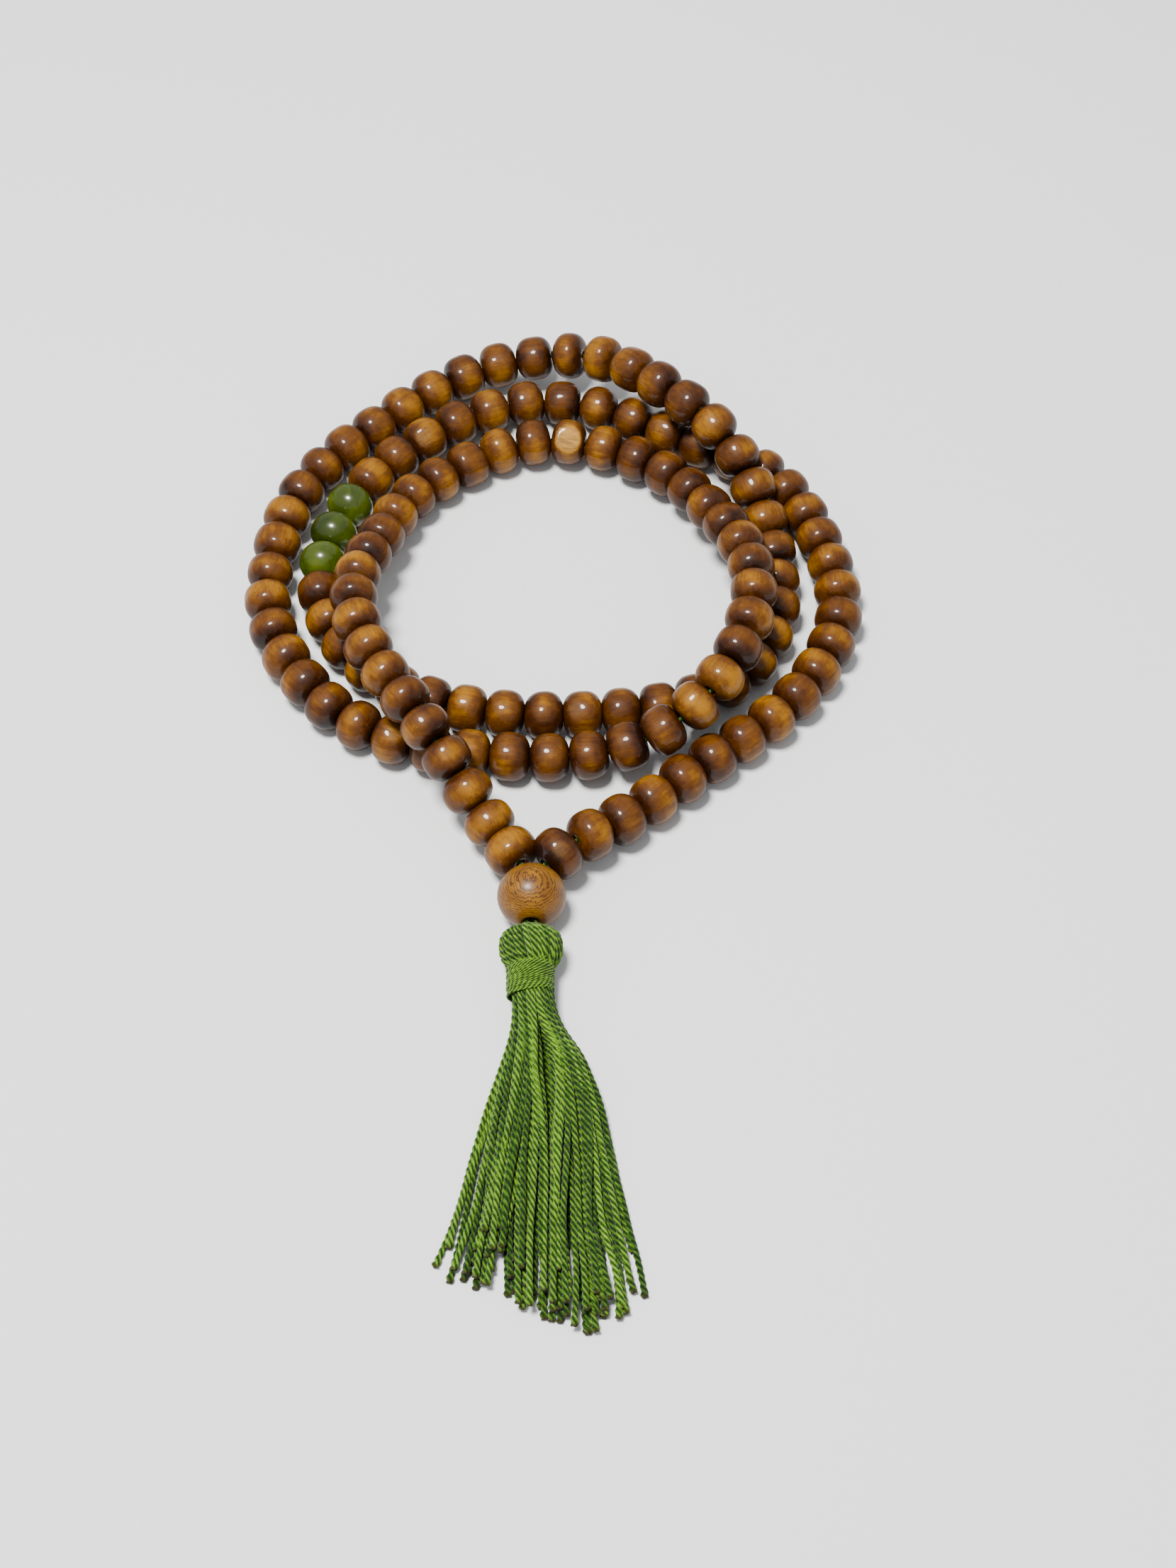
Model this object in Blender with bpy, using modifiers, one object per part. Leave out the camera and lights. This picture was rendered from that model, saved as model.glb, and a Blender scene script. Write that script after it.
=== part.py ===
"""A string of turned wooden prayer beads with three green stone beads, a guru bead and a cord tassel.

The string lies in three overlapping turns on a flat surface at z = 0. The origin is the middle of the
object's footprint, +Y points from the tassel to the far side of the loops, and +Z is up.
"""

import math

import bmesh
import bpy
import numpy as np
from mathutils import Vector

MM = 0.001

# Beads. A bead is a superellipse of revolution with flat ends.
BEAD_RADIUS = 4.0 * MM
BEAD_LENGTH = 5.64 * MM
BEAD_END_RADIUS = 1.25 * MM
BORE_RADIUS = 0.85 * MM
NECK_RADIUS = 1.9 * MM
BEAD_FACETS = 10
THREAD_RADIUS = 0.45 * MM
# How far along the thread, from either end, it leaves the guru bead's bore.
THREAD_MOUTH = 10.0 * MM
# Half outlines: (share of the half length, share of the radius), from an end to the equator.
BEAD_SHOULDERS = ((0.78, 0.78), (0.31, 0.98))
GREEN_BEAD_RADIUS = 4.05 * MM
GREEN_BEAD_LENGTH = 6.4 * MM
GREEN_BEAD_END_RADIUS = 1.6 * MM

# The thread's route in millimetres, from one side of the guru bead's bore, round the three turns, and
# back into the other side. Where a turn lies on another, the route rises to 12.5.
THREAD_ROUTE_MM = (
    (-3.3, -30.0, 5.3), (-3.3, -21.5, 5.3),
    (-6.5, -15.4, 4.7), (-12.8, -7.0, 7.4), (-19.0, 1.5, 12.0), (-26.0, 12.0, 12.5),
    (-31.7, 23.5, 12.5), (-32.5, 35.5, 10.4), (-29.3, 47.0, 7.0), (-24.8, 58.0, 5.0),
    (-15.5, 66.5, 4.1), (-4.0, 72.0, 4.5), (8.5, 70.5, 4.4), (20.0, 64.0, 4.8),
    (27.0, 53.5, 7.0), (32.0, 42.0, 10.5), (33.5, 30.0, 12.5), (30.3, 18.0, 12.6),
    (24.0, 8.3, 11.0), (12.8, 3.0, 6.0), (0.0, 2.0, 4.2), (-12.5, 3.0, 4.1),
    (-25.0, 5.5, 4.1), (-35.6, 12.0, 4.1), (-43.5, 22.0, 4.1), (-48.0, 34.0, 4.1),
    (-47.4, 47.0, 4.1), (-44.5, 59.5, 4.1), (-37.0, 70.5, 4.1), (-27.5, 80.0, 4.1),
    (-17.0, 88.3, 4.3), (-4.2, 92.0, 5.6), (8.5, 88.4, 9.0), (19.0, 78.0, 12.3),
    (28.4, 67.7, 12.3), (34.5, 58.0, 8.0), (37.5, 47.0, 4.3), (38.0, 35.0, 4.1),
    (34.2, 22.8, 4.1), (24.5, 14.5, 4.1), (12.0, 11.5, 4.1), (-0.5, 10.7, 4.1),
    (-13.0, 11.8, 4.1), (-25.0, 16.3, 4.1), (-34.2, 25.0, 4.1), (-39.3, 36.5, 4.1),
    (-38.0, 50.0, 4.1), (-32.0, 63.0, 4.3), (-22.3, 73.2, 4.3), (-10.8, 80.2, 4.3),
    (2.0, 82.0, 4.3), (14.5, 77.7, 4.1), (26.0, 71.3, 4.1), (37.0, 65.0, 4.1),
    (43.6, 55.0, 4.1), (47.3, 43.5, 4.2), (48.2, 31.5, 4.2), (43.8, 20.0, 4.1),
    (36.0, 10.2, 4.1), (26.0, 2.2, 4.1), (16.3, -6.2, 4.3), (6.4, -13.8, 5.4),
    (2.1, -16.8, 6.5), (-1.9, -21.5, 5.3), (-1.9, -30.0, 5.3),
)
SPLINE_STEPS = 24

# Spacing of the 120 beads along the thread: the first bead's distance from the thread's start, then
# (number of steps, step) for each stretch, because hand-turned beads differ in length.
FIRST_BEAD = 14.3 * MM
BEAD_STEPS = (
    (15, 6.18 * MM), (23, 6.39 * MM), (14, 6.44 * MM), (7, 6.77 * MM), (6, 7.04 * MM),
    (21, 6.30 * MM), (3, 6.97 * MM), (12, 6.73 * MM), (9, 6.10 * MM), (9, 6.34 * MM),
)
GREEN_BEADS = (88, 89, 90)
# Stretches of beads that lie under or against another turn, each joined into one solid.
JOINED_BEADS = (
    (16, 21), (22, 26), (39, 45), (46, 52), (53, 59), (62, 67), (68, 73), (74, 80), (81, 87),
    (91, 97), (98, 104), (105, 114),
)

# Guru bead, whose bore lies along Y.
GURU_CENTRE = (-2.6 * MM, -25.0 * MM, 5.3 * MM)
GURU_RADIUS = 5.3 * MM
GURU_LENGTH = 9.5 * MM
GURU_BORE_RADIUS = 2.1 * MM
GURU_FACETS = 16

# Tassel. Its pivot is the knot that ties the thread's two ends, inside the folded head.
TASSEL_PIVOT = (-2.6 * MM, -31.9 * MM, 5.0 * MM)
TASSEL_TILT = math.radians(6.5)
KNOT_RADIUS = 1.4 * MM
HEAD_HEIGHT_SHARE = 0.84
# (radius, distance from the pivot towards the guru bead), round the head's half outline.
HEAD_OUTLINE_MM = (
    (2.0, -1.9), (2.0, 0.6), (2.3, 0.8), (3.5, 0.45), (4.5, 0.1), (4.95, -1.0), (4.9, -2.6),
    (4.3, -4.0), (3.2, -4.6), (3.1, -10.0), (0.0, -10.0),
)
WRAP_INNER_RADIUS = 3.45 * MM
WRAP_OUTER_RADIUS = 3.85 * MM
WRAP_START = -4.9 * MM
WRAP_END = -10.0 * MM
TASSEL_FACETS = 16

# Skirt, cut lengthwise into bundles of cords. Each row is a cross-section across Y:
# (y, middle x, half width, height), with a flat underside on the surface.
SKIRT_SECTIONS_MM = (
    (-42.6, -1.1, 3.9, 6.9), (-46.0, -0.6, 4.7, 6.6), (-50.5, -0.3, 6.0, 6.2), (-55.0, -0.3, 7.4, 5.7),
    (-62.0, 0.0, 9.2, 5.1), (-70.0, -0.3, 10.4, 4.6), (-80.0, -0.8, 12.2, 4.1), (-95.6, -0.3, 13.3, 3.2),
)
SKIRT_BUNDLES = ("skirt_outer_left", "skirt_mid_left", "skirt_centre", "skirt_mid_right", "skirt_outer_right")
SKIRT_FLOOR = 0.1 * MM
SKIRT_EDGE_HEIGHT = 0.35
BUNDLE_GAP = 0.35 * MM

COLOURS = {
    "wood": (0.24, 0.085, 0.012), "stone": (0.075, 0.115, 0.006), "guru": (0.30, 0.125, 0.022),
    "thread": (0.11, 0.19, 0.03), "cord": (0.10, 0.20, 0.035),
}
ROUGHNESS = {"wood": 0.3, "stone": 0.15, "guru": 0.45, "thread": 0.8, "cord": 0.85}


def clear_scene():
    for obj in list(bpy.data.objects):
        bpy.data.objects.remove(obj, do_unlink=True)


def new_collection(name, parent):
    collection = bpy.data.collections.new(name)
    parent.children.link(collection)
    return collection


def new_material(kind, node):
    material = bpy.data.materials.new(f"{node}_{kind}")
    material.use_nodes = True
    shader = material.node_tree.nodes["Principled BSDF"]
    shader.inputs["Base Color"].default_value = (*COLOURS[kind], 1.0)
    shader.inputs["Roughness"].default_value = ROUGHNESS[kind]
    shader.inputs["Metallic"].default_value = 0.0
    return material


def add_object(collection, name, data, kind=None):
    obj = bpy.data.objects.new(name, data)
    collection.objects.link(obj)
    if kind:
        data.materials.clear()
        data.materials.append(new_material(kind, name))
    return obj


def spline_through(points, steps):
    """A natural cubic spline through the points, as an array of close points."""
    points = np.array(points, float)
    gaps = np.linalg.norm(np.diff(points, axis=0), axis=1)
    matrix = np.eye(len(points))
    target = np.zeros_like(points)
    for i in range(1, len(points) - 1):
        matrix[i, i - 1:i + 2] = gaps[i - 1], 2 * (gaps[i - 1] + gaps[i]), gaps[i]
        target[i] = 6 * ((points[i + 1] - points[i]) / gaps[i] - (points[i] - points[i - 1]) / gaps[i - 1])
    bend = np.linalg.solve(matrix, target)
    curve = []
    for i, gap in enumerate(gaps):
        for b in np.arange(steps) / steps:
            a = 1 - b
            straight = a * points[i] + b * points[i + 1]
            curve.append(straight + ((a**3 - a) * bend[i] + (b**3 - b) * bend[i + 1]) * gap**2 / 6)
    return np.array(curve + [points[-1]])


class Thread:
    """The thread's smooth route, read by distance from its start."""

    def __init__(self):
        self.points = spline_through(THREAD_ROUTE_MM, SPLINE_STEPS) * MM
        lengths = np.linalg.norm(np.diff(self.points, axis=0), axis=1)
        self.distances = np.concatenate([[0.0], np.cumsum(lengths)])
        self.length = self.distances[-1]

    def at(self, distance):
        return Vector([float(np.interp(distance, self.distances, self.points[:, k])) for k in range(3)])


def bead_spans(thread):
    """Each bead's two ends of thread: the joints between beads, where the thread bends."""
    places = [FIRST_BEAD]
    for count, step in BEAD_STEPS:
        places += [places[-1] + step * (i + 1) for i in range(count)]
    joints = [places[0] - BEAD_STEPS[0][1] / 2]
    joints += [(a + b) / 2 for a, b in zip(places, places[1:])]
    joints.append(places[-1] + BEAD_STEPS[-1][1] / 2)
    return [thread.at(joint) for joint in joints]


def poly_tube(collection, name, points, radii, kind=None):
    """A capped tube along straight runs between the points, with its own radius at each."""
    largest = max(radii)
    curve = bpy.data.curves.new(name, "CURVE")
    curve.dimensions = "3D"
    curve.bevel_depth = largest
    curve.bevel_resolution = 2
    curve.use_fill_caps = True
    spline = curve.splines.new("POLY")
    spline.points.add(len(points) - 1)
    for place, point, radius in zip(spline.points, points, radii):
        place.co = (*point, 1.0)
        place.radius = radius / largest
    return add_object(collection, name, curve, kind)


def as_mesh(collection, tube, kind=None):
    """The tube as a closed mesh object, which a Boolean can cut."""
    graph = bpy.context.evaluated_depsgraph_get()
    mesh = bpy.data.meshes.new_from_object(tube.evaluated_get(graph))
    form = bmesh.new()
    form.from_mesh(mesh)
    bmesh.ops.remove_doubles(form, verts=form.verts, dist=0.001 * MM)
    bmesh.ops.recalc_face_normals(form, faces=form.faces)
    form.to_mesh(mesh)
    form.free()
    name, matrix = tube.name, tube.matrix_world.copy()
    bpy.data.objects.remove(tube, do_unlink=True)
    obj = add_object(collection, name, mesh, kind)
    obj.matrix_world = matrix
    return obj


def profile_mesh(name, points, closed):
    """A profile in the XZ plane, for a Screw modifier to turn about Z."""
    mesh = bpy.data.meshes.new(name)
    edges = [(i, i + 1) for i in range(len(points) - 1)]
    if closed:
        edges.append((len(points) - 1, 0))
    mesh.from_pydata([(radius, 0.0, height) for radius, height in points], edges, [])
    return mesh


def turn(obj, facets):
    """Turns the object's profile about its own Z axis."""
    screw = obj.modifiers.new("turned", "SCREW")
    screw.axis = "Z"
    screw.angle = math.tau
    screw.steps = screw.render_steps = facets
    screw.use_merge_vertices = True
    screw.merge_threshold = 0.001 * MM
    screw.use_smooth_shade = True


def place_along(obj, centre, direction):
    """Puts the object's origin at centre and its Z axis along direction."""
    obj.rotation_mode = "QUATERNION"
    obj.rotation_quaternion = Vector(direction).to_track_quat("Z", "Y")
    obj.location = centre


def bead_outline(radius, length, end_radius, bore_radius):
    """The closed half section of a bead: down its outer side from top to bottom, and back up its bore."""
    half = length / 2
    upper = [(share_r * radius, share_z * half) for share_z, share_r in BEAD_SHOULDERS]
    lower = [(r, -z) for r, z in reversed(upper)]
    ends = [(bore_radius, half), (end_radius, half)]
    return ends + upper + lower + [(end_radius, -half), (bore_radius, -half)]


def build_single_beads(collection, joints):
    wood = bead_outline(BEAD_RADIUS, BEAD_LENGTH, BEAD_END_RADIUS, BORE_RADIUS)
    stone = bead_outline(GREEN_BEAD_RADIUS, GREEN_BEAD_LENGTH, GREEN_BEAD_END_RADIUS, BORE_RADIUS)
    joined = {n for first, last in JOINED_BEADS for n in range(first, last + 1)}
    for number in range(1, len(joints)):
        if number in joined:
            continue
        start, end = joints[number - 1], joints[number]
        green = number in GREEN_BEADS
        name = f"green_bead_{GREEN_BEADS.index(number) + 1}" if green else f"bead_{number:03d}"
        outline, kind = (stone, "stone") if green else (wood, "wood")
        bead = add_object(collection, name, profile_mesh(name, outline, True), kind)
        turn(bead, BEAD_FACETS)
        place_along(bead, (start + end) / 2, end - start)


def run_stations(joints, first, last):
    """Points and radii down a run of beads that touch: ends and shoulders of each bead, and necks between."""
    half = BEAD_LENGTH / 2
    points, radii = [], []
    for number in range(first, last + 1):
        start, end = joints[number - 1], joints[number]
        centre, axis = (start + end) / 2, (end - start).normalized()
        upper = [(-share_z * half, share_r * BEAD_RADIUS) for share_z, share_r in BEAD_SHOULDERS]
        stations = upper + [(-z, r) for z, r in reversed(upper)]
        if number == first:
            stations.insert(0, (-half, BEAD_END_RADIUS))
        if number == last:
            stations.append((half, BEAD_END_RADIUS))
        points += [centre + axis * z for z, _ in stations]
        radii += [r for _, r in stations]
        if number < last:
            points.append(end)
            radii.append(NECK_RADIUS)
    return points, radii


def build_joined_beads(collection, cutters, joints):
    for first, last in JOINED_BEADS:
        name = f"beads_{first:03d}_to_{last:03d}"
        points, radii = run_stations(joints, first, last)
        run = as_mesh(collection, poly_tube(collection, name, points, radii), "wood")
        path = joints[first - 1:last + 1]
        bore = as_mesh(cutters, poly_tube(cutters, f"bore_{name}", path, [BORE_RADIUS] * len(path)))
        bore.hide_render = True
        bore.display_type = "WIRE"
        cut = run.modifiers.new("bore", "BOOLEAN")
        cut.operation = "DIFFERENCE"
        cut.solver = "EXACT"
        cut.object = bore


def build_thread(collection, thread, joints):
    mouths = THREAD_MOUTH, thread.length - THREAD_MOUTH
    points = [thread.at(0.0), thread.at(mouths[0])] + joints + [thread.at(mouths[1]), thread.at(thread.length)]
    poly_tube(collection, "thread", points, [THREAD_RADIUS] * len(points), "thread")


def build_guru_bead(collection):
    half = GURU_LENGTH / 2
    ends = math.acos(half / GURU_RADIUS)
    turns = np.linspace(ends, math.pi - ends, 8)
    arc = [(GURU_RADIUS * math.sin(a), GURU_RADIUS * math.cos(a)) for a in turns]
    outline = [(GURU_BORE_RADIUS, half)] + arc + [(GURU_BORE_RADIUS, -half)]
    guru = add_object(collection, "guru_bead", profile_mesh("guru_bead", outline, True), "guru")
    turn(guru, GURU_FACETS)
    place_along(guru, GURU_CENTRE, (0.0, 1.0, 0.0))


def tassel_axis():
    """The direction from the tassel's tail towards the guru bead."""
    return Vector((0.0, math.cos(TASSEL_TILT), math.sin(TASSEL_TILT)))


def build_tassel_knot(collection):
    mesh = bpy.data.meshes.new("tassel_knot")
    form = bmesh.new()
    bmesh.ops.create_uvsphere(form, u_segments=10, v_segments=6, radius=KNOT_RADIUS)
    form.to_mesh(mesh)
    form.free()
    mesh.shade_smooth()
    knot = add_object(collection, "tassel_knot", mesh, "thread")
    knot.location = TASSEL_PIVOT


def build_tassel_head(collection):
    outline = [(0.0, HEAD_OUTLINE_MM[0][1] * MM)] + [(r * MM, z * MM) for r, z in HEAD_OUTLINE_MM]
    head = add_object(collection, "tassel_head", profile_mesh("tassel_head", outline, False), "cord")
    turn(head, TASSEL_FACETS)
    flatten_and_place(head)


def flatten_and_place(obj):
    """Lays a turned tassel piece along the tassel, a little flatter than it is wide."""
    place_along(obj, TASSEL_PIVOT, tassel_axis())
    obj.scale = (1.0, HEAD_HEIGHT_SHARE, 1.0)


def build_tassel_wrap(collection):
    middle = (WRAP_START + WRAP_END) / 2
    outline = (
        (WRAP_INNER_RADIUS, WRAP_START), (WRAP_OUTER_RADIUS - 0.15 * MM, WRAP_START),
        (WRAP_OUTER_RADIUS, middle), (WRAP_OUTER_RADIUS - 0.1 * MM, WRAP_END), (WRAP_INNER_RADIUS, WRAP_END),
    )
    wrap = add_object(collection, "tassel_wrap", profile_mesh("tassel_wrap", outline, True), "cord")
    turn(wrap, TASSEL_FACETS)
    flatten_and_place(wrap)


def skirt_height(share, height):
    """The skirt's domed top: full height at the middle, lower at the edges."""
    return height * (SKIRT_EDGE_HEIGHT + (1 - SKIRT_EDGE_HEIGHT) * math.sqrt(max(0.0, 1 - share * share)))


def bundle_section(section, low, high):
    """The outline of one bundle across Y, between two shares of the skirt's half width."""
    y, middle, half_width, height = (value * MM for value in section)
    left = middle + low * half_width + BUNDLE_GAP / 2
    right = middle + high * half_width - BUNDLE_GAP / 2
    centre = (left + right) / 2
    tops = [skirt_height(share, height) for share in (low, (low + high) / 2, high)]
    outline = (
        (left, y, SKIRT_FLOOR), (left, y, tops[0]), (centre, y, tops[1]), (right, y, tops[2]),
        (right, y, SKIRT_FLOOR), (centre, y, SKIRT_FLOOR),
    )
    return [Vector(point) for point in outline]


def loft(name, sections):
    """A closed solid through cross-sections that have the same number of points."""
    form = bmesh.new()
    rings = [[form.verts.new(point) for point in section] for section in sections]
    for ring, following in zip(rings, rings[1:]):
        for i in range(len(ring)):
            j = (i + 1) % len(ring)
            form.faces.new((ring[i], ring[j], following[j], following[i]))
    form.faces.new(rings[0])
    form.faces.new(rings[-1])
    bmesh.ops.recalc_face_normals(form, faces=form.faces)
    mesh = bpy.data.meshes.new(name)
    form.to_mesh(mesh)
    form.free()
    return mesh


def build_skirt(collection):
    """The bundles. The centre one turns with the head; the others fan out about their own tops."""
    top, middle, half_width, height = (value * MM for value in SKIRT_SECTIONS_MM[0])
    count = len(SKIRT_BUNDLES)
    for index, name in enumerate(SKIRT_BUNDLES):
        low, high = 2 * index / count - 1, 2 * (index + 1) / count - 1
        hinge = Vector((middle + (low + high) / 2 * half_width, top, height / 2))
        origin = Vector(TASSEL_PIVOT) if name == "skirt_centre" else hinge
        sections = [
            [point - origin for point in bundle_section(section, low, high)]
            for section in SKIRT_SECTIONS_MM
        ]
        bundle = add_object(collection, name, loft(name, sections), "cord")
        bundle.location = origin


def main():
    clear_scene()
    scene_collection = bpy.context.scene.collection
    parts = new_collection("prayer_beads", scene_collection)
    cutters = new_collection("cutters", scene_collection)
    thread = Thread()
    joints = bead_spans(thread)
    build_single_beads(parts, joints)
    build_joined_beads(parts, cutters, joints)
    build_thread(parts, thread, joints)
    build_guru_bead(parts)
    build_tassel_knot(parts)
    build_tassel_head(parts)
    build_tassel_wrap(parts)
    build_skirt(parts)


main()
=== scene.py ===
import math
import random

import bmesh
import bpy
import numpy as np
from mathutils import Matrix, Vector, noise


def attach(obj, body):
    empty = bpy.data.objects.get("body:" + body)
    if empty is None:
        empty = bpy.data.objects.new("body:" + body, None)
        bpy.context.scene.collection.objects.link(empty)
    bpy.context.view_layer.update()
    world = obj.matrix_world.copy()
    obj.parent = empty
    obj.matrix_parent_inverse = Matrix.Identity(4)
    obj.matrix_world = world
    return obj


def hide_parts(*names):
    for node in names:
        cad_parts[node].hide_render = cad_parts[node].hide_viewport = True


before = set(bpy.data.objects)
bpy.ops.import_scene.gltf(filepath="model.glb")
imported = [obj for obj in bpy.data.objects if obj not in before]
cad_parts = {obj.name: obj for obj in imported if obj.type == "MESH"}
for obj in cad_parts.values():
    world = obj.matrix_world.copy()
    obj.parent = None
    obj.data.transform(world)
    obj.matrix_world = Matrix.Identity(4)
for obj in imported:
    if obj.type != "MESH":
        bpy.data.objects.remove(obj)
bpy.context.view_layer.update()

# Looks of a string of prayer beads: each turned bead, the guru bead's grain, the twisted thread and the
# cords of the tassel. Sizes are in metres, and in millimetres where a name ends in MM.

MM = 0.001

# ---- The thread's route, as in the CAD: points in millimetres and the spacing of the 120 beads. ----

THREAD_ROUTE_MM = (
    (-3.3, -30.0, 5.3), (-3.3, -21.5, 5.3),
    (-6.5, -15.4, 4.7), (-12.8, -7.0, 7.4), (-19.0, 1.5, 12.0), (-26.0, 12.0, 12.5),
    (-31.7, 23.5, 12.5), (-32.5, 35.5, 10.4), (-29.3, 47.0, 7.0), (-24.8, 58.0, 5.0),
    (-15.5, 66.5, 4.1), (-4.0, 72.0, 4.5), (8.5, 70.5, 4.4), (20.0, 64.0, 4.8),
    (27.0, 53.5, 7.0), (32.0, 42.0, 10.5), (33.5, 30.0, 12.5), (30.3, 18.0, 12.6),
    (24.0, 8.3, 11.0), (12.8, 3.0, 6.0), (0.0, 2.0, 4.2), (-12.5, 3.0, 4.1),
    (-25.0, 5.5, 4.1), (-35.6, 12.0, 4.1), (-43.5, 22.0, 4.1), (-48.0, 34.0, 4.1),
    (-47.4, 47.0, 4.1), (-44.5, 59.5, 4.1), (-37.0, 70.5, 4.1), (-27.5, 80.0, 4.1),
    (-17.0, 88.3, 4.3), (-4.2, 92.0, 5.6), (8.5, 88.4, 9.0), (19.0, 78.0, 12.3),
    (28.4, 67.7, 12.3), (34.5, 58.0, 8.0), (37.5, 47.0, 4.3), (38.0, 35.0, 4.1),
    (34.2, 22.8, 4.1), (24.5, 14.5, 4.1), (12.0, 11.5, 4.1), (-0.5, 10.7, 4.1),
    (-13.0, 11.8, 4.1), (-25.0, 16.3, 4.1), (-34.2, 25.0, 4.1), (-39.3, 36.5, 4.1),
    (-38.0, 50.0, 4.1), (-32.0, 63.0, 4.3), (-22.3, 73.2, 4.3), (-10.8, 80.2, 4.3),
    (2.0, 82.0, 4.3), (14.5, 77.7, 4.1), (26.0, 71.3, 4.1), (37.0, 65.0, 4.1),
    (43.6, 55.0, 4.1), (47.3, 43.5, 4.2), (48.2, 31.5, 4.2), (43.8, 20.0, 4.1),
    (36.0, 10.2, 4.1), (26.0, 2.2, 4.1), (16.3, -6.2, 4.3), (6.4, -13.8, 5.4),
    (2.1, -16.8, 6.5), (-1.9, -21.5, 5.3), (-1.9, -30.0, 5.3),
)
SPLINE_STEPS = 24
FIRST_BEAD = 14.3 * MM
BEAD_STEPS = (
    (15, 6.18 * MM), (23, 6.39 * MM), (14, 6.44 * MM), (7, 6.77 * MM), (6, 7.04 * MM),
    (21, 6.30 * MM), (3, 6.97 * MM), (12, 6.73 * MM), (9, 6.10 * MM), (9, 6.34 * MM),
)
THREAD_RADIUS = 0.38 * MM
THREAD_PITCH = 2.2 * MM
# How far each end of the thread runs straight through the guru bead.
THREAD_MOUTH = 10.0 * MM
GREEN_BEADS = (88, 89, 90)
JOINED_BEADS = (
    (16, 21), (22, 26), (39, 45), (46, 52), (53, 59), (62, 67), (68, 73), (74, 80), (81, 87),
    (91, 97), (98, 104), (105, 114),
)
# Where the thread lies slack and shows between two beads.
SLACK_AFTER = 60

# ---- Beads ----

BEAD_RADIUS = 4.0 * MM
BEAD_END_RADIUS = 1.45 * MM
BORE_RADIUS = 0.85 * MM
RIM = 0.12 * MM
BEAD_SIDES = 36
BEAD_RINGS = 16
# Shares of the usual end radius and radius, and the powers of the outline: 2 is an ellipse, more is boxier.
END_SHARES = (0.95, 1.25)
RADIUS_SHARES = (0.975, 1.01)
BEAD_POWERS = (2.35, 2.9)
BEAD_WOBBLE = 0.05
# How far a bead's ends press past the room that its leaning neighbours leave.
BEAD_PRESS = 0.06 * MM
SLACK_BEAD_HALF = 2.75 * MM

GREEN_BEAD_RADIUS = 4.05 * MM
GREEN_BEAD_LENGTH = 6.5 * MM
GREEN_BEAD_END_RADIUS = 1.6 * MM
GREEN_BEAD_POWER = 2.15
GREEN_BEAD_WOBBLE = 0.004

# Beads with a flat worn or cut on them: number, the way the flat faces, its radius, how pale it is.
WORN_FLATS = (
    (20, (0.0, -0.55, 0.83), 2.3 * MM, 1.0),
    (120, (0.1, -0.45, 0.89), 1.3 * MM, 0.15),
    (41, (0.2, -0.35, 0.91), 1.2 * MM, 0.25),
    (118, (0.45, -0.65, 0.61), 1.0 * MM, 0.1),
    (93, (0.1, -0.6, 0.79), 1.4 * MM, 0.3),
    (78, (-0.3, -0.4, 0.87), 1.1 * MM, 0.1),
    (33, (0.3, -0.5, 0.81), 1.2 * MM, 0.15),
)
FLAT_EDGE = 0.25 * MM
# Beads a little larger than the rest: number and share of the usual radius.
LARGER_BEADS = {1: 1.04, 60: 1.04, 61: 1.03, 118: 1.02, 119: 1.02, 120: 1.06}

GURU_CENTRE = Vector((-2.6, -25.0, 5.3)) * MM
GURU_RADIUS = 5.3 * MM
GURU_LENGTH = 9.5 * MM
GURU_END_RADIUS = 1.7 * MM
GURU_BORE_RADIUS = 1.3 * MM
GURU_POWER = 2.0
GURU_SIDES = 64
GURU_WOBBLE = 0.006
GURU_SEED = 200

# ---- Tassel ----

TASSEL_PIVOT = Vector((-2.6, -31.9, 5.0)) * MM
TASSEL_TILT = math.radians(6.5)
HEAD_HEIGHT_SHARE = 0.84
HEAD_CORDS = 32
# (radius, distance from the pivot towards the guru bead), in millimetres, of a folded cord's middle line.
HEAD_CORD_LINE_MM = (
    (1.75, 0.95), (1.95, 0.9), (2.5, 0.55), (3.3, 0.35), (4.0, -0.3), (4.35, -1.5), (4.3, -2.8),
    (3.9, -4.0), (3.3, -4.9), (2.8, -5.9), (2.7, -8.0), (2.7, -9.6),
)
HEAD_LEAN = math.radians(-38.0)
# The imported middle: its hollow top, and how far it stays inside the cords from one of their points on.
CORE_TOP_MM = ((0.0, -1.7), (1.9, -1.7), (1.95, 0.1), (2.6, 0.0))
CORE_INSET_MM = 0.35
CORE_FIRST_POINT = 4
CORE_SIDES = 24

CORD_RADIUS = 0.50 * MM
CORD_PLIES = 3
CORD_PITCH = 3.5 * MM
# How far a ply's middle lies from the cord's, in radii of a ply, and how deep the groove may get.
PLY_OFFSET = 0.62
GROOVE_FLOOR = 0.12
# The length over which a pinched cord swells to its whole thickness.
SWELL_LENGTH = 8 * MM

WRAP_THREAD_RADIUS = 0.21 * MM
WRAP_THREAD_PITCH = 1.6 * MM
WRAP_TURNS = 15
WRAP_STEPS = 24
WRAP_RADIUS = 3.5 * MM
WRAP_TAPER = 0.04
WRAP_START = -5.0 * MM
WRAP_END = -9.9 * MM
WRAP_TILT = 0.5 * MM
# Unevenness of the turns: along the neck, in radius, and from step to step.
WRAP_WANDER = 0.14 * MM
WRAP_BULGE = 0.08 * MM
WRAP_JITTER_MM = 0.03

# The skirt's left and right edges: y, left, right.
SKIRT_EDGES_MM = (
    (-40.2, -5.6, 1.9), (-45.3, -5.5, 3.6), (-50.1, -6.4, 5.5), (-54.8, -7.6, 7.0), (-59.5, -8.7, 8.6),
    (-68.5, -10.5, 9.9), (-77.3, -11.8, 10.9), (-85.8, -13.2, 12.8), (-95.0, -13.6, 13.4),
)
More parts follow.
